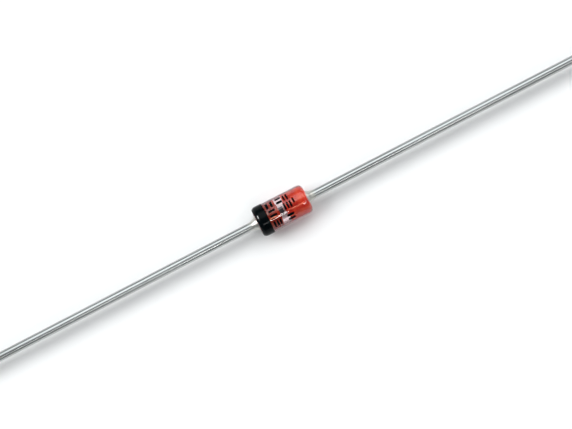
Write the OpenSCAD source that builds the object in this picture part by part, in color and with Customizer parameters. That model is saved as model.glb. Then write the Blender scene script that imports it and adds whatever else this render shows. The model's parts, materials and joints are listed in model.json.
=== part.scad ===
// Axial glass zener diode: two welded slug leads sealed into a glass sleeve, with a silicon
// die clamped between the slugs and a painted ring at the cathode end.
// The diode lies along X, cathode towards -X, with the origin at the middle of the glass.

/* [Glass sleeve] */
// Outside diameter of the glass
glass_d = 1.95; // [1.6:0.05:2.3]
// Length of the glass from end to end
glass_len = 3.5; // [3:0.05:5]
// Radius of the fire-polished outer edge
end_round = 0.29; // [0.05:0.01:0.4]
// Radius of the inner edge at each mouth
mouth_round = 0.1; // [0.02:0.01:0.15]

/* [Slugs] */
// Diameter of the slugs, which is also the bore that the glass seals to
slug_d = 1.1; // [0.9:0.05:1.3]
// How far each slug's outer face lies inside the end of the glass
slug_recess = 0.12; // [0.02:0.01:0.3]
// Chamfer on both rims of each slug
slug_chamfer = 0.05; // [0.01:0.01:0.08]

/* [Die] */
// Side of the square silicon die
die_w = 0.44; // [0.42:0.01:0.56]
// Thickness of the die
die_t = 0.3; // [0.15:0.01:0.45]
// Diameter of the silver contact bump at the die
bump_d = 0.3; // [0.28:0.01:0.4]
// Height of the bump, from the die to the anode slug
bump_h = 0.12; // [0.04:0.01:0.13]

/* [Leads] */
// Diameter of the lead wires
lead_d = 0.56; // [0.4:0.01:0.6]
// Free length of each lead, from the end of the glass to its tip
lead_len = 26; // [10:0.5:32]
// How far the weld bead swells past the lead wire, all round
weld_swell = 0.17; // [0.05:0.01:0.22]
// Length over which the bead runs out along the lead
weld_len = 0.6; // [0.3:0.01:0.8]
// Chamfer left on the cut tip of each lead
tip_chamfer = 0.06; // [0.01:0.01:0.15]

/* [Cathode band] */
// Width of the painted ring along the glass
band_w = 0.74; // [0.3:0.01:1.2]
// Bare glass between the end of the sleeve and the ring
band_inset = 0.02; // [0.02:0.01:0.4]
// Thickness of the paint
band_t = 0.025; // [0.01:0.005:0.05]

/* [Hidden] */
$fn = 96;

glass_r = glass_d / 2;
glass_end = glass_len / 2;
slug_r = slug_d / 2;
lead_r = lead_d / 2;

// A round edge can take only its share of the glass wall
glass_wall = glass_r - slug_r;
outer_share = 0.7;
outer_edge_r = min(end_round, glass_wall * outer_share);
inner_edge_r = min(mouth_round, glass_wall * (1 - outer_share));

// The die and its bump fill the gap between the slugs, centred in the glass
slug_gap = die_t + bump_h;
cathode_face = -slug_gap / 2;
anode_face = slug_gap / 2;
die_top = cathode_face + die_t;
slug_outer = glass_end - slug_recess;
slug_len = slug_outer - slug_gap / 2;

lead_tip = glass_end + lead_len;

// The weld bead stays on the flat face of its slug
weld_r = min(lead_r + weld_swell, slug_r - slug_chamfer);
// Two equal arcs that meet halfway, each of this radius, carry the bead down to the wire
weld_rise = weld_r - lead_r;
weld_arc_r = (pow(weld_rise, 2) + pow(weld_len, 2)) / (4 * weld_rise);

// Turns a half section about X: the section's own X is the radius, its Y runs along the diode
module turned_on_x() {
    rotate([0, 90, 0])
        rotate_extrude()
            children();
}

// What a round edge of radius r takes off the corner at the origin; the material is at +X, +Y
module corner_cut(r) {
    difference() {
        square(r);
        translate([r, r]) circle(r);
    }
}

// Half section of a round bar with rounded outer edges, from its axis to its skin
module bar_section(r, half_len, edge_r) {
    difference() {
        translate([0, -half_len]) square([r, 2 * half_len]);
        for (end = [0, 1]) mirror([0, end])
            translate([r, -half_len]) mirror([1, 0]) corner_cut(edge_r);
    }
}

// Glass tube, fused to the slugs over its bore, with fire-polished lips at both mouths
module glass_sleeve() {
    color([0.80, 0.86, 0.84, 0.45])
        turned_on_x()
            difference() {
                bar_section(glass_r, glass_end, outer_edge_r);
                translate([0, -glass_end]) square([slug_r, glass_len]);
                for (end = [0, 1]) mirror([0, end])
                    translate([slug_r, -glass_end]) corner_cut(inner_edge_r);
            }
}

// Oxidised copper-clad stud with chamfered rims, standing along +Y of the section from 0
module slug_section() {
    polygon([
        [0, 0],
        [slug_r - slug_chamfer, 0],
        [slug_r, slug_chamfer],
        [slug_r, slug_len - slug_chamfer],
        [slug_r - slug_chamfer, slug_len],
        [0, slug_len]
    ]);
}

module cathode_slug() {
    color([0.72, 0.20, 0.10])
        turned_on_x() translate([0, -slug_outer]) slug_section();
}

module anode_slug() {
    color([0.78, 0.22, 0.10])
        turned_on_x() translate([0, anode_face]) slug_section();
}

// Square silicon chip, seated on the cathode slug
module zener_die() {
    color([0.25, 0.26, 0.29])
        translate([cathode_face, -die_w / 2, -die_w / 2]) cube([die_t, die_w, die_w]);
}

// Plated silver button: half a ball on the die, cut flat by the anode slug
module contact_bump() {
    color([0.85, 0.85, 0.83])
        turned_on_x()
            translate([0, die_top])
                intersection() {
                    square([bump_d / 2, bump_h]);
                    circle(bump_d / 2);
                }
}

// Weld bead along +Y of the section: a round shoulder at the slug, then a hollow run-out to the wire
module weld_section() {
    halfway_r = (weld_r + lead_r) / 2;
    intersection() {
        square([weld_r, weld_len / 2]);
        translate([weld_r - weld_arc_r, 0]) circle(weld_arc_r);
    }
    difference() {
        square([halfway_r, weld_len]);
        translate([lead_r + weld_arc_r, weld_len]) circle(weld_arc_r);
    }
}

// Lead along +Y of the section: its weld bead on the slug, then the wire, then the cut tip
module lead_section() {
    tip_flat_r = lead_r - tip_chamfer;
    translate([0, slug_outer]) weld_section();
    polygon([
        [0, slug_outer],
        [lead_r, slug_outer],
        [lead_r, lead_tip - tip_chamfer],
        [tip_flat_r, lead_tip],
        [0, lead_tip]
    ]);
}

module cathode_lead() {
    color([0.77, 0.78, 0.78])
        turned_on_x() mirror([0, 1]) lead_section();
}

module anode_lead() {
    color([0.77, 0.78, 0.78])
        turned_on_x() lead_section();
}

// Painted ring that follows the glass from its rounded shoulder onto the straight wall
module cathode_band() {
    color([0.03, 0.03, 0.035])
        turned_on_x()
            difference() {
                intersection() {
                    bar_section(glass_r + band_t, glass_end + band_t, outer_edge_r + band_t);
                    translate([0, band_inset - glass_end]) square([glass_r + band_t, band_w]);
                }
                bar_section(glass_r, glass_end, outer_edge_r);
            }
}

glass_sleeve();
cathode_slug();
anode_slug();
zener_die();
contact_bump();
cathode_lead();
anode_lead();
cathode_band();
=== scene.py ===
"""Axial glass zener diode, dressed over its solids: glass sleeve, slugs, die, leads, ring and print."""
import json
import math

import bpy
import numpy as np
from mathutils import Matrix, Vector


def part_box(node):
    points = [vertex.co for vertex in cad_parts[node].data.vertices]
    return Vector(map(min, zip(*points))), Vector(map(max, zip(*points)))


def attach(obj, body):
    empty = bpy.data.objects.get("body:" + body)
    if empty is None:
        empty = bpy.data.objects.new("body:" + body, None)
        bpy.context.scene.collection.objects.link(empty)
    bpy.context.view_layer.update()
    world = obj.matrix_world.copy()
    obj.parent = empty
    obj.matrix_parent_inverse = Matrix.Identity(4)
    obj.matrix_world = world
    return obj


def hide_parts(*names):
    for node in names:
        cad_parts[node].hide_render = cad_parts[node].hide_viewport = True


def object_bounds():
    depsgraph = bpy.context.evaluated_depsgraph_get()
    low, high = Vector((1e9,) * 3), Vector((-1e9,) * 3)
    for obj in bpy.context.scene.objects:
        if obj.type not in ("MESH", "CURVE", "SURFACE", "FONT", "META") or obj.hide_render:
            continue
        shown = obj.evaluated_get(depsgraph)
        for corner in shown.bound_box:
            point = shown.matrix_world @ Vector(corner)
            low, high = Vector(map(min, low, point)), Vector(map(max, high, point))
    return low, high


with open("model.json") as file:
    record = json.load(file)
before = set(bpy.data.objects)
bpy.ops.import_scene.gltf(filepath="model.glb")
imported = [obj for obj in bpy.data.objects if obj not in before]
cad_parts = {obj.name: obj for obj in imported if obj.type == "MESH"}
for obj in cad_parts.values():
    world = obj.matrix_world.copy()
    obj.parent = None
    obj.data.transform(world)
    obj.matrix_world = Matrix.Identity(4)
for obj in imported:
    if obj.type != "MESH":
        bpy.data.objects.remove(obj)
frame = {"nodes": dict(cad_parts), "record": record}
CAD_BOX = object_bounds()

bl_info = {
    "name": "Axial Glass Diode",
    "version": (1, 0, 0),
    "blender": (4, 5, 0),
    "location": "3D View > Sidebar > Diode",
    "description": "Builds a small glass diode and its white studio from named sizes and colours",
    "category": "Object",
}

MM = 0.001
BODY = "root"

# Pixels across and down the picture that the camera is set up for
PICTURE_W, PICTURE_H = 572, 429

# Points of a profile that lie nearer to each other than this are one point, in metres
SAME_POINT = 1e-9

# Edges that turn by more than this are shaded sharp
SHARP_EDGE = math.radians(35)

# The range in which most noise values lie
NOISE_LOW, NOISE_HIGH = 0.3, 0.7

# How far red, green and blue light spread in the oxide, as shares of its reach
OXIDE_SPREAD = (1.0, 0.12, 0.06)


def node_span(node):
    """Where a solid starts and ends along X, and how far it reaches from the diode's axis."""
    mesh = frame["nodes"][node].data
    points = np.empty(len(mesh.vertices) * 3)
    mesh.vertices.foreach_get("co", points)
    x, y, z = points.reshape(-1, 3).T
    return x.min(), x.max(), np.hypot(y, z).max()


# Sizes that the solids give
_, GLASS_END, GLASS_R = node_span("glass_sleeve")
ANODE_FACE, SLUG_OUTER, SLUG_R = node_span("anode_slug")
_, LEAD_TIP, WELD_R = node_span("anode_lead")
BAND_START, BAND_STOP, BAND_R = node_span("cathode_band")
DIE_START, DIE_STOP, _ = node_span("zener_die")
DIE_HALF_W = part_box("zener_die")[1].y
_, _, BUMP_R = node_span("contact_bump")
LEAD_R = frame["record"]["mounts"][0]["dims"]["r_mm"] * MM
FLOOR_Z = CAD_BOX[0].z


def length(name, description, default):
    """A size in metres that a user may change."""
    return bpy.props.FloatProperty(
        name=name, description=description, default=default, precision=6, subtype="DISTANCE", unit="LENGTH"
    )


def colour(name, description, default):
    """A colour that a user may change."""
    return bpy.props.FloatVectorProperty(
        name=name, description=description, default=default, size=3, min=0.0, max=1.0, subtype="COLOR"
    )


def share(name, description, default):
    """A number from 0 to 1 that a user may change."""
    return bpy.props.FloatProperty(
        name=name, description=description, default=default, min=0.0, max=1.0, subtype="FACTOR"
    )


def angle(name, description, degrees):
    """An angle, given in degrees here, that a user may change."""
    return bpy.props.FloatProperty(
        name=name, description=description, default=math.radians(degrees), subtype="ANGLE", unit="ROTATION"
    )


def pixel(name, description, default):
    """A place in the picture, in pixels, that a user may change."""
    return bpy.props.FloatProperty(name=name, description=description, default=default, subtype="PIXEL")


def amount(name, description, default):
    """A plain number that a user may change."""
    return bpy.props.FloatProperty(name=name, description=description, default=default, min=0.0)


class DiodeBodySettings(bpy.types.PropertyGroup):
    """Sizes and colours of the glass and of what is sealed into it."""

    lip_round: length("Lip radius", "Radius of the fire-polished outer edge of the glass", 0.29 * MM)
    mouth_round: length("Mouth radius", "Radius of the inner edge at each mouth of the glass", 0.10 * MM)
    glass_ripple: length("Glass ripple", "Depth of the soft ripple that drawn glass keeps", 0.003 * MM)
    glass_neck: length("Glass neck", "Depth of the shallow neck over the anode slug", 0.022 * MM)
    glass_ior: amount("Glass IOR", "Refractive index of the lead glass", 1.60)
    glass_gloss: share("Glass gloss", "Share of bare glass's mirror image that this glass shows", 0.75)
    glass_tint: colour("Glass tint", "Colour that white light takes in thick glass", (0.82, 0.58, 0.62))
    glass_density: amount("Glass density", "How fast the glass takes light up, per metre", 1000.0)
    glass_shade: share("Glass shade", "Share of the lamps' light that goes straight through", 0.55)
    slug_chamfer: length("Slug chamfer", "Chamfer on both rims of each slug", 0.05 * MM)
    seal_depth: length("Seal depth", "How far each slug's skin is wetted into the glass", 0.002 * MM)
    oxide_deep: colour("Deep oxide", "Darkest red of the oxide on the slugs", (0.62, 0.010, 0.004))
    oxide_bright: colour("Bright oxide", "Brightest orange of that oxide", (0.83, 0.068, 0.017))
    oxide_gloss: share("Oxide gloss", "How strongly the oxide mirrors the lamps under the glass", 1.0)
    oxide_sheen: colour("Oxide sheen", "Colour that the oxide gives to what it mirrors", (1.0, 0.62, 0.38))
    oxide_depth: share("Oxide depth", "Share of the light that sinks in before it comes back", 0.6)
    oxide_reach: length("Oxide reach", "How far red light spreads in the glassy oxide", 0.40 * MM)
    plating: colour("Plating", "Colour of the tin on each slug's bare outer end", (0.42, 0.41, 0.39))
    # The cathode slug gets the same oxide as the anode, drawn darker by this share
    cathode_darkening: share("Cathode darkening", "How much darker the cathode slug's oxide is", 0.35)
    die_edge: length("Die edge", "Rounding of the sawn die's edges", 0.012 * MM)
    silicon: colour("Silicon", "Colour of the die", (0.060, 0.062, 0.072))
    silver: colour("Silver", "Colour of the contact bump", (0.84, 0.83, 0.80))


class DiodeLeadSettings(bpy.types.PropertyGroup):
    """Sizes and colours of the two leads."""

    weld_len: length("Weld length", "Length over which the weld bead runs out along the lead", 0.60 * MM)
    tip_chamfer: length("Tip chamfer", "Chamfer left on the cut tip of each lead", 0.06 * MM)
    draw_mark: length("Draw marks", "Depth of the marks that drawing left on the wire", 0.0015 * MM)
    tin: colour("Tin", "Colour of the tinned wire", (0.48, 0.49, 0.485))
    tin_roughness: share("Tin roughness", "Roughness of the tinned wire", 0.28)
    tin_streaks: share("Tin streaks", "How far that roughness strays with the draw marks", 0.03)
    weld_tin: colour("Weld tin", "Paler colour of the tin heaped on the weld", (0.55, 0.54, 0.50))
    weld_tin_reach: length("Weld tin reach", "How far the paler tin runs along the lead", 0.78 * MM)
    weld_tin_fade: length("Weld tin fade", "Length over which the paler tin fades out", 0.30 * MM)
    weld_roughness: share("Weld roughness", "Roughness of the tin on the weld bead", 0.38)


class DiodePrintSettings(bpy.types.PropertyGroup):
    """Sizes and colours of the ink on the glass."""

    ink: colour("Ink", "Colour of the ink of the ring and the bars", (0.0006, 0.0016, 0.0021))
    ink_gloss: share("Ink gloss", "How strongly the ink's skin mirrors the lamps", 0.06)
    sink: length("Ink bite", "How far the baked ink bites into the glass", 0.001 * MM)
    band_waver: length("Ring waver", "How much the edges of the painted ring stray", 0.018 * MM)
    bar_height: length("Bar thickness", "Thickness of the ink of the bars", 0.02 * MM)
    bar_waver: share("Bar waver", "Share by which the outline of a bar strays", 0.05)


class DiodeStageSettings(bpy.types.PropertyGroup):
    """The floor, the light and the camera. A lamp's strength is in watts a square metre."""

    floor: colour("Floor", "Colour of the floor", (0.95, 0.95, 0.95))
    floor_radius: length("Floor radius", "Radius of the round floor", 4.0)
    sky: amount("Sky", "Brightness of the soft light from all round", 0.16)
    sky_tint: colour("Sky tint", "Colour of the sky and the back light, a little cool", (0.92, 0.98, 1.0))
    back: amount("Back light", "Brightness of the wide soft light behind the diode", 2.1)
    back_core: angle("Back core", "Half the width of the even part of that light", 8.0)
    back_reach: angle("Back reach", "Half the width at which that light has faded out", 31.0)
    backdrop: angle("Backdrop", "Height of the white backdrop that shows past the floor's edge", 5.0)
    backdrop_fade: angle("Backdrop fade", "Height over which the backdrop fades into the sky", 1.0)
    key: amount("Key light", "Strength of the soft light from the picture's left", 2.2)
    key_size: angle("Key size", "How wide the key light and the fill light look from the diode", 38.0)
    ring_spot: amount("Ring spot", "Strength of the light that only the ring mirrors", 16.0)
    spot_size: angle("Spot size", "How wide that light looks from the diode", 23.0)
    fill: amount("Fill light", "Strength of the soft light from the picture's lower right", 0.45)
    side: amount("Side light", "Strength of the soft light behind the anode end", 0.65)
    side_size: angle("Side size", "How wide that light looks from the diode", 40.0)
    glint: amount("Glint light", "Strength of the small light in front", 0.20)
    glint_size: angle("Glint size", "How wide the small light looks from the diode", 8.0)
    azimuth: angle("Azimuth", "Turn of the camera round the diode, 0 looking along +Y", -27.5)
    elevation: angle("Elevation", "Height of the camera above the floor's plane", 85.0)
    lens: bpy.props.FloatProperty(
        name="Lens",
        description="Focal length of the camera",
        default=180.0,
        subtype="DISTANCE_CAMERA",
        unit="CAMERA",
    )
    picture_width: length("Picture width", "Width of what the picture spans at the diode", 35.6 * MM)
    aim_x: pixel("Aim across", "Pixel across the picture where the middle of the glass lies", 282.2)
    aim_y: pixel("Aim down", "Pixel down the picture where the middle of the glass lies", 210.4)


def arc(centre_x, centre_r, radius, start, stop, steps):
    """Points (x, r) on a circle: centre plus radius times cosine along x and sine along r, in degrees."""
    turn = np.radians(np.linspace(start, stop, steps + 1))
    return np.stack([centre_x + radius * np.cos(turn), centre_r + radius * np.sin(turn)], axis=1)


def straight(start, stop, steps):
    """Evenly spaced points (x, r) from start to stop."""
    return np.linspace(start, stop, steps + 1)


def half_section(*stretches):
    """Joins stretches of a profile end to end, each point kept once."""
    points = np.concatenate(stretches)
    step = np.linalg.norm(np.diff(points, axis=0), axis=1)
    return points[np.concatenate([[True], step > SAME_POINT])]


def turns(around):
    """Evenly spaced angles round a full turn, the last short of the first."""
    return np.linspace(0.0, 2.0 * math.pi, around, endpoint=False)


def carried_round(x, r, around):
    """Rings about X: the point at distance r along x goes to (x, r cos a, r sin a) for each turn a.

    Both x and r may also have a column for each turn.
    """
    a = turns(around)
    x, r = np.broadcast_arrays(x.reshape(len(x), -1), r.reshape(len(r), -1) * np.ones((1, around)))
    return np.stack([x, r * np.cos(a), r * np.sin(a)], axis=2)


def superellipse(a, power):
    """Reach of a rounded square of half width 1 at turn a.

    It is the sum of the powers of cosine and sine, taken to minus one over that power.
    """
    return (np.abs(np.cos(a)) ** power + np.abs(np.sin(a)) ** power) ** (-1.0 / power)


def ring_mesh(name, rings, start_pole=None, stop_pole=None, joined=False):
    """A closed skin on a grid of rings: each cell is a quad, a pole closes an end with triangles.

    Row i, column j of the grid is vertex i * columns + j. Columns close on themselves, and so do rows
    when the surface is joined from its last ring to its first.
    """
    rows, columns = rings.shape[:2]
    vertices = rings.reshape(-1, 3)
    index = np.arange(rows * columns).reshape(rows, columns)
    here = index if joined else index[:-1]
    following = np.roll(index, -1, axis=0) if joined else index[1:]
    beside = np.roll(here, -1, axis=1)
    across = np.roll(following, -1, axis=1)
    quads = np.stack([here, beside, across, following], axis=2).reshape(-1, 4)
    fans = []
    if start_pole is not None:
        pole = np.full(columns, len(vertices))
        vertices = np.vstack([vertices, start_pole])
        fans.append(np.stack([pole, np.roll(index[0], -1), index[0]], axis=1))
    if stop_pole is not None:
        pole = np.full(columns, len(vertices))
        vertices = np.vstack([vertices, stop_pole])
        fans.append(np.stack([pole, index[-1], np.roll(index[-1], -1)], axis=1))
    triangles = np.concatenate(fans) if fans else np.empty((0, 3), int)
    return put_mesh(name, vertices, quads, triangles)


def put_mesh(name, vertices, quads, triangles):
    """A mesh from arrays of vertices, quads and triangles, shaded smooth."""
    corners = np.concatenate([quads.ravel(), triangles.ravel()]).astype(np.int32)
    sizes = np.concatenate([np.full(len(quads), 4), np.full(len(triangles), 3)])
    starts = (np.cumsum(sizes) - sizes).astype(np.int32)
    mesh = bpy.data.meshes.new(name)
    mesh.vertices.add(len(vertices))
    mesh.vertices.foreach_set("co", vertices.astype(np.float32).ravel())
    mesh.loops.add(len(corners))
    mesh.polygons.add(len(sizes))
    mesh.polygons.foreach_set("loop_start", starts)
    mesh.polygons.foreach_set("vertices", corners)
    mesh.polygons.foreach_set("use_smooth", np.ones(len(sizes), bool))
    mesh.update(calc_edges=True)
    if mesh.validate():
        raise RuntimeError(f"the surface of {name} has broken faces")
    return mesh


def put_piece(name, mesh, material, slot, *nodes):
    """An object at the origin that rides with the diode and stands for the solids named."""
    mesh.materials.append(material)
    mesh.set_sharp_from_angle(angle=SHARP_EDGE)
    piece = bpy.data.objects.new(name, mesh)
    bpy.context.scene.collection.objects.link(piece)
    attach(piece, BODY)
    if nodes:
        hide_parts(*nodes)


def opaque(rgb):
    """A colour as a socket takes it, with full alpha."""
    return (*rgb, 1.0)


def scaled(rgb, factor):
    """A colour times a factor."""
    return tuple(factor * c for c in rgb)


def new_material(name):
    """A material with its node tree and its shader."""
    material = bpy.data.materials.new(name)
    material.use_nodes = True
    return material, material.node_tree, material.node_tree.nodes["Principled BSDF"]


def add(tree, kind, **values):
    """A node of that kind, with its settings by name."""
    node = tree.nodes.new(kind)
    for key, value in values.items():
        setattr(node, key, value)
    return node


def noise(tree, features, detail=2.0, roughness=0.5, shift=(0.0, 0.0, 0.0)):
    """A noise value on Object coordinates, with so many features a metre along X, Y and Z."""
    place = add(tree, "ShaderNodeTexCoord")
    mapping = add(tree, "ShaderNodeMapping")
    mapping.inputs["Scale"].default_value = features
    mapping.inputs["Location"].default_value = shift
    texture = add(tree, "ShaderNodeTexNoise", noise_dimensions="3D")
    texture.inputs["Scale"].default_value = 1.0
    texture.inputs["Detail"].default_value = detail
    texture.inputs["Roughness"].default_value = roughness
    tree.links.new(place.outputs["Object"], mapping.inputs["Vector"])
    tree.links.new(mapping.outputs["Vector"], texture.inputs["Vector"])
    return texture.outputs["Fac"]


def tone(tree, value, start, stop, low=NOISE_LOW, high=NOISE_HIGH):
    """A colour that goes from start, where the value is low, to stop, where it is high."""
    node = add(tree, "ShaderNodeValToRGB")
    for element, position, rgb in zip(node.color_ramp.elements, (low, high), (start, stop)):
        element.position = position
        element.color = opaque(rgb)
    tree.links.new(value, node.inputs["Fac"])
    return node.outputs["Color"]


def spread(tree, value, start, stop, low=NOISE_LOW, high=NOISE_HIGH):
    """A number that goes from start, where the value is low, to stop, where it is high."""
    node = add(tree, "ShaderNodeMapRange")
    node.inputs["From Min"].default_value = low
    node.inputs["From Max"].default_value = high
    node.inputs["To Min"].default_value = start
    node.inputs["To Max"].default_value = stop
    tree.links.new(value, node.inputs["Value"])
    return node.outputs["Result"]


def worked_out(tree, operation, *values):
    """The result of a Math node on values of the tree."""
    node = add(tree, "ShaderNodeMath", operation=operation)
    for value, socket in zip(values, node.inputs):
        tree.links.new(value, socket)
    return node.outputs["Value"]


def past(tree, near, far):
    """0 nearer the middle than near, 1 farther out than far, along X of Object coordinates."""
    place = add(tree, "ShaderNodeTexCoord")
    split = add(tree, "ShaderNodeSeparateXYZ")
    tree.links.new(place.outputs["Object"], split.inputs["Vector"])
    from_middle = worked_out(tree, "ABSOLUTE", split.outputs["X"])
    return spread(tree, from_middle, 0.0, 1.0, low=near, high=far)


def bump(tree, height, shader, depth, strength):
    """Raises a surface by a height value times a depth in metres."""
    node = add(tree, "ShaderNodeBump")
    node.inputs["Distance"].default_value = depth
    node.inputs["Strength"].default_value = strength
    tree.links.new(height, node.inputs["Height"])
    tree.links.new(node.outputs["Normal"], shader.inputs["Normal"])


def clear_glass(look):
    """Lead glass: clear, a little pink where it is thick, letting the lamps through to the slugs."""
    material, tree, shader = new_material("clear_glass")
    shader.inputs["Base Color"].default_value = (1.0, 1.0, 1.0, 1.0)
    shader.inputs["Roughness"].default_value = 0.0
    shader.inputs["IOR"].default_value = look.glass_ior
    shader.inputs["Transmission Weight"].default_value = 1.0
    shader.inputs["Specular Tint"].default_value = opaque([look.glass_gloss] * 3)
    rays = add(tree, "ShaderNodeLightPath")
    let_through = add(tree, "ShaderNodeBsdfTransparent")
    let_through.inputs["Color"].default_value = opaque([look.glass_shade] * 3)
    either = add(tree, "ShaderNodeMixShader")
    tree.links.new(rays.outputs["Is Shadow Ray"], either.inputs["Fac"])
    tree.links.new(shader.outputs["BSDF"], either.inputs[1])
    tree.links.new(let_through.outputs["BSDF"], either.inputs[2])
    tree.links.new(either.outputs["Shader"], tree.nodes["Material Output"].inputs["Surface"])
    tint = add(tree, "ShaderNodeVolumeAbsorption")
    tint.inputs["Color"].default_value = opaque(look.glass_tint)
    tint.inputs["Density"].default_value = look.glass_density
    tree.links.new(tint.outputs["Volume"], tree.nodes["Material Output"].inputs["Volume"])
    return material


def red_oxide(name, look, brightness):
    """Copper under a red oxide skin: orange and deep red in soft blotches, with faint drawing lines.

    The outer end of a slug is bare of oxide: from its chamfer on it has the colour of the plating.
    """
    material, tree, shader = new_material(name)
    blotches = noise(tree, features=[2600.0] * 3, detail=4.0, roughness=0.6)
    deep, bright = scaled(look.oxide_deep, brightness), scaled(look.oxide_bright, brightness)
    skin = tone(tree, blotches, deep, bright, low=0.32, high=0.68)
    plating_edge = SLUG_OUTER - look.slug_chamfer
    plated = past(tree, plating_edge - 0.5 * look.slug_chamfer, plating_edge)
    mix = add(tree, "ShaderNodeMix", data_type="RGBA")
    tree.links.new(plated, mix.inputs["Factor"])
    tree.links.new(skin, mix.inputs["A"])
    mix.inputs["B"].default_value = opaque(look.plating)
    tree.links.new(mix.outputs["Result"], shader.inputs["Base Color"])
    shader.inputs["Specular IOR Level"].default_value = look.oxide_gloss
    shader.inputs["Specular Tint"].default_value = opaque(look.oxide_sheen)
    shader.inputs["Subsurface Weight"].default_value = look.oxide_depth
    shader.inputs["Subsurface Radius"].default_value = OXIDE_SPREAD
    shader.inputs["Subsurface Scale"].default_value = look.oxide_reach
    lines = noise(tree, features=(1500.0, 16000.0, 16000.0))
    tree.links.new(spread(tree, lines, start=0.14, stop=0.26), shader.inputs["Roughness"])
    bump(tree, lines, shader, depth=0.004 * MM, strength=0.5)
    return material


def tinned_wire(look):
    """Drawn wire under bright tin: long faint draw marks, and paler, duller tin on the weld beads."""
    material, tree, shader = new_material("tinned_wire")
    marks = noise(tree, features=(150.0, 14000.0, 14000.0), detail=3.0, roughness=0.6)
    patches = noise(tree, features=(120.0, 900.0, 900.0), shift=(3.0, 1.0, 5.0))
    shade = tone(tree, patches, scaled(look.tin, factor=0.90), look.tin, low=0.30, high=0.65)
    weld_tin_stop = SLUG_OUTER + look.weld_tin_reach
    wire = past(tree, weld_tin_stop - look.weld_tin_fade, weld_tin_stop)
    mix = add(tree, "ShaderNodeMix", data_type="RGBA")
    tree.links.new(wire, mix.inputs["Factor"])
    mix.inputs["A"].default_value = opaque(look.weld_tin)
    tree.links.new(shade, mix.inputs["B"])
    tree.links.new(mix.outputs["Result"], shader.inputs["Base Color"])
    shader.inputs["Metallic"].default_value = 1.0
    smooth, rough = look.tin_roughness - look.tin_streaks, look.tin_roughness + look.tin_streaks
    dull = add(tree, "ShaderNodeMix", data_type="FLOAT")
    tree.links.new(wire, dull.inputs["Factor"])
    dull.inputs["A"].default_value = look.weld_roughness
    tree.links.new(spread(tree, marks, smooth, rough), dull.inputs["B"])
    tree.links.new(dull.outputs["Result"], shader.inputs["Roughness"])
    bump(tree, marks, shader, depth=0.003 * MM, strength=0.6)
    return material


def sawn_silicon(look):
    """Dark grey silicon with the fine scratches of the dicing saw."""
    material, tree, shader = new_material("sawn_silicon")
    scratches = noise(tree, features=(60000.0, 4000.0, 4000.0))
    shade = tone(tree, scratches, scaled(look.silicon, factor=0.8), look.silicon)
    tree.links.new(shade, shader.inputs["Base Color"])
    shader.inputs["Metallic"].default_value = 0.5
    tree.links.new(spread(tree, scratches, start=0.22, stop=0.40), shader.inputs["Roughness"])
    bump(tree, scratches, shader, depth=0.001 * MM, strength=0.5)
    return material


def plated_silver(look):
    """Satin plated silver with a grainy skin."""
    material, tree, shader = new_material("plated_silver")
    grain = noise(tree, features=[30000.0] * 3)
    shade = tone(tree, grain, scaled(look.silver, factor=0.9), look.silver)
    tree.links.new(shade, shader.inputs["Base Color"])
    shader.inputs["Metallic"].default_value = 1.0
    tree.links.new(spread(tree, grain, start=0.28, stop=0.42), shader.inputs["Roughness"])
    bump(tree, grain, shader, depth=0.002 * MM, strength=0.4)
    return material


def baked_ink(look):
    """Glossy black marking ink, with a fine orange-peel skin."""
    material, tree, shader = new_material("baked_ink")
    peel = noise(tree, features=[6000.0] * 3)
    shade = tone(tree, peel, look.ink, scaled(look.ink, factor=1.8), high=0.75)
    tree.links.new(shade, shader.inputs["Base Color"])
    tree.links.new(spread(tree, peel, start=0.08, stop=0.18), shader.inputs["Roughness"])
    shader.inputs["Specular IOR Level"].default_value = look.ink_gloss
    bump(tree, peel, shader, depth=0.006 * MM, strength=0.8)
    return material


def floor_paper(look):
    """White matt paper with a barely visible fibre tone."""
    material, tree, shader = new_material("floor_paper")
    fibre = noise(tree, features=[700.0] * 3, detail=4.0)
    shade = tone(tree, fibre, scaled(look.floor, factor=0.985), look.floor, low=0.35, high=0.65)
    tree.links.new(shade, shader.inputs["Base Color"])
    shader.inputs["Roughness"].default_value = 0.85
    shader.inputs["Specular IOR Level"].default_value = 0.2
    return material


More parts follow.
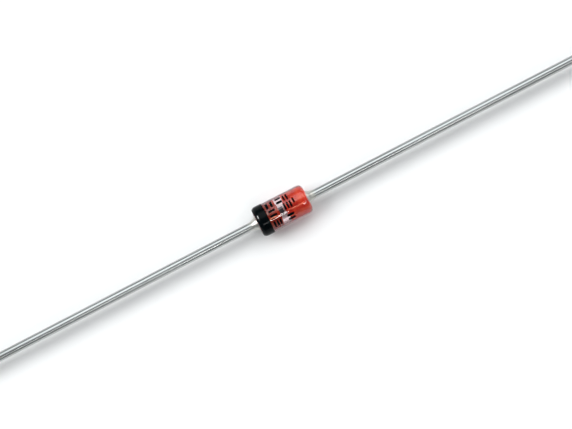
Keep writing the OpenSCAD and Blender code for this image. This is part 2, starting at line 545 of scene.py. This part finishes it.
class DIODE_OT_glass_sleeve(bpy.types.Operator):
    """Glass tube with fire-polished lips, fused over the slugs."""

    bl_idname = "diode.glass_sleeve"
    bl_label = "Glass Sleeve"

    # Where the shallow neck starts and stops along the glass
    neck_start, neck_stop = 0.28 * MM, 1.29 * MM

    def execute(self, context):
        """Profile: lip, wall, lip and face, then mouth, bore, mouth and face, carried round X.

        From half way up each lip, the wall dips by a ripple that fades out towards both ends, and by a
        shallow neck that deepens evenly from its start to its middle and comes back evenly to its stop.
        """
        look = context.scene.diode_body
        lip, mouth = look.lip_round, look.mouth_round
        flat, edge = GLASS_END - lip, GLASS_END - mouth
        profile = half_section(
            arc(-flat, GLASS_R - lip, lip, 180, 90, steps=20),
            straight((-flat, GLASS_R), (flat, GLASS_R), steps=240),
            arc(flat, GLASS_R - lip, lip, 90, 0, steps=20),
            arc(edge, SLUG_R + mouth, mouth, 0, -90, steps=10),
            straight((edge, SLUG_R), (-edge, SLUG_R), steps=40),
            arc(-edge, SLUG_R + mouth, mouth, -90, -180, steps=10),
        )
        x, r = (column[:, None] for column in profile.T)
        a = turns(around=160)
        on_wall = r > GLASS_R - 0.5 * lip
        ripple = look.glass_ripple * self.ripple(x, a) * (GLASS_END - np.abs(x)) / GLASS_END
        along_neck = np.clip((x - self.neck_start) / (self.neck_stop - self.neck_start), 0.0, 1.0)
        neck = look.glass_neck * (1.0 - np.abs(2.0 * along_neck - 1.0))
        rings = carried_round(x, r - on_wall * (ripple + neck), len(a))
        mesh = ring_mesh("glass_sleeve_skin", rings, joined=True)
        put_piece("glass_sleeve_skin", mesh, clear_glass(look), "clear_glass", "glass_sleeve")
        return {"FINISHED"}

    @staticmethod
    def ripple(x, a):
        """Waves from 0 to 2: two lobes that swell along the glass, and three that wind along it."""
        swelling = np.sin(2.0 * a + 1.3) * np.sin(2.1 * x / MM + 0.4)
        winding = np.sin(3.0 * a - 1.9 * x / MM)
        return 1.0 + 0.5 * (swelling + winding)


class DIODE_OT_slugs(bpy.types.Operator):
    """The two oxidised copper-clad slugs that the glass seals to."""

    bl_idname = "diode.slugs"
    bl_label = "Slugs"

    def execute(self, context):
        """Profile: inner face, chamfer, skin, chamfer and outer face, carried round X.

        Both faces are rings out from a small hub, which a pole closes.
        """
        look = context.scene.diode_body
        chamfer = look.slug_chamfer
        skin_r = SLUG_R + look.seal_depth
        hub_r = 0.15 * SLUG_R
        profile = half_section(
            straight((ANODE_FACE, hub_r), (ANODE_FACE, SLUG_R - chamfer), steps=6),
            straight((ANODE_FACE, SLUG_R - chamfer), (ANODE_FACE + chamfer, skin_r), steps=3),
            straight((ANODE_FACE + chamfer, skin_r), (SLUG_OUTER - chamfer, skin_r), steps=40),
            straight((SLUG_OUTER - chamfer, skin_r), (SLUG_OUTER, SLUG_R - chamfer), steps=3),
            straight((SLUG_OUTER, SLUG_R - chamfer), (SLUG_OUTER, hub_r), steps=6),
        )
        # Same oxide on both slugs; the cathode's copy is made darker by a given share
        sides = ("anode_slug", 1.0, 1.0), ("cathode_slug", -1.0, 1.0 - look.cathode_darkening)
        for name, side, brightness in sides:
            material = red_oxide(name + "_oxide", look, brightness)
            x, r = profile.T if side > 0 else profile[::-1].T
            rings = carried_round(side * x, r, around=96)
            mesh = ring_mesh(name + "_skin", rings, (side * x[0], 0, 0), (side * x[-1], 0, 0))
            put_piece(name + "_skin", mesh, material, "red_oxide_slug", name)
        return {"FINISHED"}


class DIODE_OT_die(bpy.types.Operator):
    """The silicon die and its silver contact bump, between the slugs."""

    bl_idname = "diode.die"
    bl_label = "Die and Bump"

    def execute(self, context):
        """Builds the die, then the bump on it."""
        look = context.scene.diode_body
        self.chip(look)
        self.contact(look)
        return {"FINISHED"}

    @staticmethod
    def chip(look):
        """Profile: face, rim, side, rim and face, carried round X.

        Each ring is a superellipse of the sixteenth power, which is nearly a square.
        """
        edge = look.die_edge
        hub_w = 0.2 * DIE_HALF_W
        rim_in = arc(DIE_START + edge, DIE_HALF_W - edge, edge, 180, 90, steps=4)
        rim_out = arc(DIE_STOP - edge, DIE_HALF_W - edge, edge, 90, 0, steps=4)
        profile = half_section(
            straight((DIE_START, hub_w), (DIE_START, DIE_HALF_W - edge), steps=4),
            rim_in,
            straight(rim_in[-1], rim_out[0], steps=8),
            rim_out,
            straight((DIE_STOP, DIE_HALF_W - edge), (DIE_STOP, hub_w), steps=4),
        )
        x, half_w = profile.T
        a = turns(around=96)
        rings = carried_round(x, half_w[:, None] * superellipse(a, power=16.0), len(a))
        mesh = ring_mesh("zener_die_chip", rings, (DIE_START, 0, 0), (DIE_STOP, 0, 0))
        put_piece("zener_die_chip", mesh, sawn_silicon(look), "silicon", "zener_die")

    @staticmethod
    def contact(look):
        """Profile: foot on the die, part of a ball and the flat that presses on the slug, round X.

        The ball's middle lies on the die, so it is cut off at the turn whose sine is gap over radius.
        """
        hub_r = 0.2 * BUMP_R
        cap = math.degrees(math.asin((ANODE_FACE - DIE_STOP) / BUMP_R))
        flat_r = BUMP_R * math.cos(math.radians(cap))
        profile = half_section(
            straight((DIE_STOP, hub_r), (DIE_STOP, BUMP_R), steps=4),
            arc(DIE_STOP, 0.0, BUMP_R, 90, 90 - cap, steps=14),
            straight((ANODE_FACE, flat_r), (ANODE_FACE, hub_r), steps=3),
        )
        x, r = profile.T
        rings = carried_round(x, r, around=64)
        mesh = ring_mesh("contact_bump_cap", rings, (DIE_STOP, 0, 0), (ANODE_FACE, 0, 0))
        put_piece("contact_bump_cap", mesh, plated_silver(look), "silver_plate", "contact_bump")


class DIODE_OT_leads(bpy.types.Operator):
    """The two tinned leads, each with its weld bead and its cut tip."""

    bl_idname = "diode.leads"
    bl_label = "Leads"

    def execute(self, context):
        """Profile: foot, a round shoulder and a hollow run-out of equal arcs, wire, chamfer and tip.

        The two arcs meet half way, so their radius is (rise^2 + length^2) / (4 rise).
        """
        look = context.scene.diode_lead
        material = tinned_wire(look)
        rise = WELD_R - LEAD_R
        bend_r = (rise ** 2 + look.weld_len ** 2) / (4.0 * rise)
        bend = math.degrees(math.asin(0.5 * look.weld_len / bend_r))
        wire_start = SLUG_OUTER + look.weld_len
        wire_stop = LEAD_TIP - look.tip_chamfer
        tip_r = LEAD_R - look.tip_chamfer
        foot_hub_r, tip_hub_r = 0.1 * WELD_R, 0.1 * LEAD_R
        profile = half_section(
            straight((SLUG_OUTER, foot_hub_r), (SLUG_OUTER, WELD_R), steps=5),
            arc(SLUG_OUTER, WELD_R - bend_r, bend_r, 90, 90 - bend, steps=12),
            arc(wire_start, LEAD_R + bend_r, bend_r, 270 - bend, 270, steps=12),
            straight((wire_start, LEAD_R), (wire_stop, LEAD_R), steps=320),
            straight((wire_stop, LEAD_R), (LEAD_TIP, tip_r), steps=4),
            straight((LEAD_TIP, tip_r), (LEAD_TIP, tip_hub_r), steps=5),
        )
        x, r = (column[:, None] for column in profile.T)
        a = turns(around=56)
        on_wire = (x > wire_start) & (x < wire_stop)
        rings = carried_round(x, r - on_wire * look.draw_mark * self.draw_marks(x, a), len(a))
        for name, side in (("anode_lead", 1.0), ("cathode_lead", -1.0)):
            turned = rings if side > 0 else rings[::-1] * (-1.0, 1.0, 1.0)
            poles = turned[0, 0] * (1, 0, 0), turned[-1, 0] * (1, 0, 0)
            mesh = ring_mesh(name + "_wire", turned, *poles)
            put_piece(name + "_wire", mesh, material, "tinned_wire", name)
        return {"FINISHED"}

    @staticmethod
    def draw_marks(x, a):
        """Waves from 0 to 2: five and nine shallow grooves round the wire that wind slowly along it."""
        return 1.0 + 0.5 * (np.sin(5.0 * a + 0.9 * x / MM) + np.sin(9.0 * a - 0.4 * x / MM + 1.1))


class DIODE_OT_band(bpy.types.Operator):
    """The painted ring that marks the cathode end."""

    bl_idname = "diode.band"
    bl_label = "Cathode Ring"

    # The edge on the lip strays by this share, and its waves lie this many columns farther round
    lip_edge_share, lip_edge_lag = 0.4, 40

    def execute(self, context):
        """Section: a thin closed strip over the lip and the wall; its two edges stray with the turn."""
        look = context.scene.diode_print
        lip = context.scene.diode_body.lip_round
        stray = self.stray(turns(around=192))
        lip_stray = self.lip_edge_share * np.roll(stray, self.lip_edge_lag)
        start = BAND_START + look.band_waver * lip_stray
        stop = BAND_STOP - look.band_waver * stray
        skin = self.strip(start, stop, lip, BAND_R - GLASS_R)
        bite = self.strip(start, stop, lip, -look.sink)[::-1]
        mesh = ring_mesh("cathode_band_ink", np.concatenate([skin, bite]), joined=True)
        put_piece("cathode_band_ink", mesh, baked_ink(look), "black_ink", "cathode_band")
        return {"FINISHED"}

    @staticmethod
    def stray(a):
        """Waves from 0 to 2 round the ring: three broad, with seven and thirteen finer ones on them."""
        waves = np.sin(3.0 * a + 0.4) + 0.6 * np.sin(7.0 * a + 2.0) + 0.4 * np.sin(13.0 * a + 1.0)
        return 1.0 + 0.5 * waves

    @staticmethod
    def strip(start, stop, lip, height):
        """Rings from start to stop at a height over the glass: up round its lip, then along the wall.

        On the lip a point at x has the distance that the lip's circle gives there, so the ink follows it.
        The power spaces the rings a little wider at the start.
        """
        along = np.linspace(0.0, 1.0, num=40)[:, None] ** 0.8
        x = start + (stop - start) * along
        over = np.clip((-GLASS_END + lip - x) / (lip + height), 0.0, 1.0)
        r = GLASS_R - lip + (lip + height) * np.sqrt(1.0 - over ** 2)
        return carried_round(x, r, len(start))


class DIODE_OT_print(bpy.types.Operator):
    """Plain ink bars that are printed round the glass."""

    bl_idname = "diode.print"
    bl_label = "Print"

    # Each bar's place along the glass in mm, its turn from the top towards the front in degrees,
    # its length along the glass in mm and its width round it in degrees
    bars = (
        (-0.79, -38.0, 0.16, 27.0),
        (-0.48, -38.0, 0.16, 27.0),
        (-0.63, -12.0, 0.46, 8.0),
        (-0.63, 6.0, 0.46, 8.0),
        (-0.80, 41.0, 0.13, 28.0),
        (-0.60, 41.0, 0.13, 28.0),
        (-0.40, 41.0, 0.13, 28.0),
        (0.02, -47.0, 0.40, 10.0),
        (0.02, -29.0, 0.40, 10.0),
        (0.38, -38.0, 0.12, 28.0),
        (0.58, -38.0, 0.12, 28.0),
        (0.22, -4.0, 0.13, 26.0),
        (0.42, -4.0, 0.13, 26.0),
        (0.62, -4.0, 0.13, 26.0),
        (0.33, 32.0, 0.48, 10.0),
        (0.33, 49.0, 0.48, 10.0),
        (0.86, -11.0, 0.12, 20.0),
    )

    def execute(self, context):
        """Each bar is a low pad of ink: a rounded rectangle that is wrapped on the glass."""
        look = context.scene.diode_print
        material = baked_ink(look)
        for number, bar in enumerate(self.bars, 1):
            rings, top, foot = self.pad(look, *bar, seed=number)
            name = f"print_bar_{number}"
            put_piece(name, ring_mesh(name, rings, top, foot), material, "black_ink")
        return {"FINISHED"}

    @staticmethod
    def pad(look, along_mm, turn_deg, length_mm, width_deg, seed):
        """Rings from the pad's top out to its edge and back under it to its foot, and the two poles.

        A ring is a share s of the outline, which is a superellipse strayed a little by waves. The height
        falls steeply near the edge, as the root of 1 - s^12. Under the pad it is the depth of the bite.
        """
        place, half_length = along_mm * MM, 0.5 * length_mm * MM
        middle, half_width = math.radians(turn_deg), math.radians(0.5 * width_deg)
        a = turns(around=64)
        stray = np.sin(3.0 * a + seed) * np.sin(5.0 * a + 2.0 * seed)
        outline = superellipse(a, power=8.0) * (1.0 + look.bar_waver * stray)
        over = np.linspace(0.2, 1.0, num=16)[:, None] ** 0.7
        under = np.linspace(0.95, 0.2, num=8)[:, None]
        s = np.concatenate([over, under])
        x = place + half_length * s * outline * np.cos(a)
        turn = middle + half_width * s * outline * np.sin(a)
        height_over = look.bar_height * np.sqrt(1.0 - over ** 12)
        r = GLASS_R + np.concatenate([height_over, np.full_like(under, -look.sink)])
        rings = np.stack([x, -r * np.sin(turn), r * np.cos(turn)], axis=2)
        outwards = np.array([0.0, -math.sin(middle), math.cos(middle)])
        on_axis = np.array([place, 0.0, 0.0])
        top = on_axis + outwards * (GLASS_R + look.bar_height)
        foot = on_axis + outwards * (GLASS_R - look.sink)
        return rings, top, foot


class DIODE_OT_stage(bpy.types.Operator):
    """The white floor, the soft light and the camera."""

    bl_idname = "diode.stage"
    bl_label = "Stage"

    # Directions from the diode towards the lamps and the middle of the back light
    key_towards = (-1.028, 0.58, 1.0)
    spot_towards = (-0.95, 0.78, 1.0)
    fill_towards = (0.50, -0.40, 0.75)
    side_towards = (0.62, 0.45, 0.66)
    glint_towards = (0.040, -0.556, 0.830)
    back_towards = (0.040, 0.573, 0.819)

    # Nearest and farthest that the camera sees
    clip_near, clip_far = 1.0 * MM, 10.0

    def execute(self, context):
        """Builds the floor, the light from all round, the lamps and the camera."""
        scene, look = context.scene, context.scene.diode_stage
        self.floor(scene, look)
        self.soft_sky(scene, look)
        self.lamp("key_light", self.key_towards, look.key, look.key_size)
        ring = "cathode_band_ink"
        self.lamp("ring_spot", self.spot_towards, look.ring_spot, look.spot_size, mirrored_by=ring)
        self.lamp("fill_light", self.fill_towards, look.fill, look.key_size)
        self.lamp("side_light", self.side_towards, look.side, look.side_size)
        self.lamp("glint_light", self.glint_towards, look.glint, look.glint_size)
        self.camera(scene, look)
        scene.view_settings.view_transform = "Standard"
        return {"FINISHED"}

    @staticmethod
    def floor(scene, look):
        """Rings about Z at the diode's lowest point, crowded inwards by a cube and closed by a pole."""
        a = turns(around=96)
        reach = look.floor_radius * np.linspace(1.0, 0.01, num=12)[:, None] ** 3
        height = np.full((len(reach), len(a)), FLOOR_Z)
        rings = np.stack([reach * np.cos(a), reach * np.sin(a), height], axis=2)
        mesh = ring_mesh("studio_floor", rings[:, ::-1], stop_pole=(0.0, 0.0, FLOOR_Z))
        mesh.materials.append(floor_paper(look))
        floor = bpy.data.objects.new("studio_floor", mesh)
        scene.collection.objects.link(floor)

    @classmethod
    def soft_sky(cls, scene, look):
        """Dim light from all round, with a wide soft light behind the diode and a white backdrop low down.

        The backdrop is what the camera, metal and glass see past the floor's edge. It gives no light.
        """
        world = bpy.data.worlds.new("soft_sky")
        world.use_nodes = True
        tree = world.node_tree
        sky = tree.nodes["Background"]
        place = add(tree, "ShaderNodeTexCoord")
        facing = add(tree, "ShaderNodeVectorMath", operation="DOT_PRODUCT")
        facing.inputs[1].default_value = Vector(cls.back_towards).normalized()
        lobe = add(tree, "ShaderNodeMapRange", interpolation_type="SMOOTHSTEP")
        lobe.inputs["From Min"].default_value = math.cos(look.back_reach)
        lobe.inputs["From Max"].default_value = math.cos(look.back_core)
        lobe.inputs["To Min"].default_value = look.sky
        lobe.inputs["To Max"].default_value = look.sky + look.back
        tree.links.new(place.outputs["Generated"], facing.inputs[0])
        tree.links.new(facing.outputs["Value"], lobe.inputs["Value"])
        split = add(tree, "ShaderNodeSeparateXYZ")
        tree.links.new(place.outputs["Generated"], split.inputs["Vector"])
        full, gone = math.sin(look.backdrop), math.sin(look.backdrop + look.backdrop_fade)
        on_backdrop = spread(tree, split.outputs["Z"], 1.0, 0.0, low=full, high=gone)
        rays = add(tree, "ShaderNodeLightPath")
        looking = rays.outputs["Is Camera Ray"]
        for kind in ("Is Glossy Ray", "Is Transmission Ray"):
            looking = worked_out(tree, "MAXIMUM", looking, rays.outputs[kind])
        seen = add(tree, "ShaderNodeMix", data_type="FLOAT")
        tree.links.new(worked_out(tree, "MULTIPLY", looking, on_backdrop), seen.inputs["Factor"])
        tree.links.new(lobe.outputs["Result"], seen.inputs["A"])
        seen.inputs["B"].default_value = 1.0
        sky.inputs["Color"].default_value = opaque(look.sky_tint)
        tree.links.new(seen.outputs["Result"], sky.inputs["Strength"])
        scene.world = world

    @staticmethod
    def lamp(name, towards, strength, size, mirrored_by=None):
        """A lamp so far off that its light is even, seen from the diode in that direction.

        Where a piece is named, that piece alone shows the lamp, and only as a mirror image.
        """
        light = bpy.data.lights.new(name, "SUN")
        light.energy = strength
        light.angle = size
        lamp = bpy.data.objects.new(name, light)
        lamp.rotation_euler = Vector(towards).to_track_quat("Z", "Y").to_euler()
        if mirrored_by:
            lamp.visible_diffuse = False
            shown_on = bpy.data.collections.new(name + "_shown_on")
            shown_on.objects.link(bpy.data.objects[mirrored_by])
            lamp.light_linking.receiver_collection = shown_on
        bpy.context.scene.collection.objects.link(lamp)

    @classmethod
    def camera(cls, scene, look):
        """Stands back from the glass so far that the picture spans its width, and aims past it."""
        lens = bpy.data.cameras.new("camera")
        lens.lens = look.lens
        lens.clip_start, lens.clip_end = cls.clip_near, cls.clip_far
        a, e = look.azimuth, look.elevation
        back = Vector((math.sin(a) * math.cos(e), -math.cos(a) * math.cos(e), math.sin(e)))
        right = Vector((math.cos(a), math.sin(a), 0.0))
        up = back.cross(right)
        pixel_size = look.picture_width / PICTURE_W
        across, down = 0.5 * PICTURE_W - look.aim_x, look.aim_y - 0.5 * PICTURE_H
        aim = right * across * pixel_size + up * down * pixel_size
        camera = bpy.data.objects.new("camera", lens)
        camera.location = aim + back * (look.picture_width * look.lens / lens.sensor_width)
        camera.rotation_euler = back.to_track_quat("Z", "Y").to_euler()
        scene.collection.objects.link(camera)
        scene.camera = camera


OPERATORS = (
    DIODE_OT_glass_sleeve,
    DIODE_OT_slugs,
    DIODE_OT_die,
    DIODE_OT_leads,
    DIODE_OT_band,
    DIODE_OT_print,
    DIODE_OT_stage,
)
SETTINGS = {
    "diode_body": DiodeBodySettings,
    "diode_lead": DiodeLeadSettings,
    "diode_print": DiodePrintSettings,
    "diode_stage": DiodeStageSettings,
}


class DIODE_PT_panel(bpy.types.Panel):
    """Lists the pieces of the diode and their settings in the sidebar."""

    bl_idname = "DIODE_PT_panel"
    bl_label = "Glass Diode"
    bl_space_type = "VIEW_3D"
    bl_region_type = "UI"
    bl_category = "Diode"

    def draw(self, context):
        """A button for each operator, then a box with each group of settings."""
        for operator in OPERATORS:
            self.layout.operator(operator.bl_idname)
        for group, settings in SETTINGS.items():
            box = self.layout.box()
            for setting in settings.__annotations__:
                box.prop(getattr(context.scene, group), setting)


CLASSES = (*SETTINGS.values(), *OPERATORS, DIODE_PT_panel)


def register():
    """Makes the classes known to Blender and hangs the settings on the scene."""
    for cls in CLASSES:
        bpy.utils.register_class(cls)
    for group, settings in SETTINGS.items():
        setattr(bpy.types.Scene, group, bpy.props.PointerProperty(type=settings))


def unregister():
    """Takes the settings and the classes away again."""
    for group in SETTINGS:
        delattr(bpy.types.Scene, group)
    for cls in reversed(CLASSES):
        bpy.utils.unregister_class(cls)


def main():
    """Builds every piece and the stage."""
    register()
    bpy.ops.diode.glass_sleeve()
    bpy.ops.diode.slugs()
    bpy.ops.diode.die()
    bpy.ops.diode.leads()
    bpy.ops.diode.band()
    bpy.ops.diode.print()
    bpy.ops.diode.stage()


if __name__ == "__main__":
    main()
